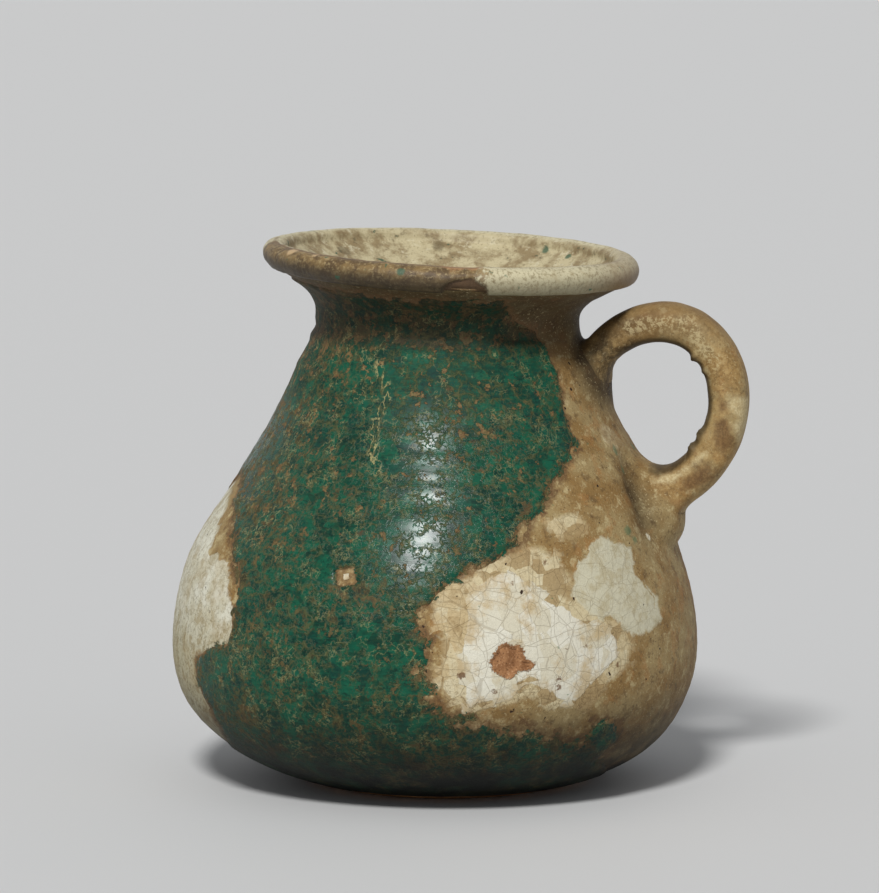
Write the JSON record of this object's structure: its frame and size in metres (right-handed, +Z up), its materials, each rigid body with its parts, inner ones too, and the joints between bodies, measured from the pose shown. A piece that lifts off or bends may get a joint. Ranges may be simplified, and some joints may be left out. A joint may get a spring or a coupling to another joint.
{
  "type": "pitcher",
  "caption": "Small wheel-thrown glazed pitcher with a round belly, flared lip and looped finger handle; worn green glaze over a crackled white ground.",
  "frame": {"origin": "middle of the flat foot, on the surface that the pitcher stands on", "axes": "+Z up along the pot's axis, +X towards the handle"},
  "size_m": [0.1142, 0.1036, 0.1068],
  "materials": {
    "clay": "bare red-brown fired clay, matte",
    "handle_clay": "bare fired clay under the handle's glaze, stained ochre, matte",
    "white_ground": "crackled white ground with tan stains, soft gloss",
    "green_glaze": "deep teal green glaze, glossy, mottled with brown",
    "cream_glaze": "thick cream glaze speckled with tan, satin",
    "handle_glaze": "weathered tan glaze with pale scuffs over handle and wads, satin"
  },
  "bodies": {
    "root": {"clay_body": "clay", "handle_coil": "handle_clay", "upper_lute": "handle_glaze", "lower_lute": "handle_glaze", "white_coat": "white_ground", "green_coat": "green_glaze", "mouth_coat": "cream_glaze", "handle_coat": "handle_glaze"}
  },
  "joints": []
}
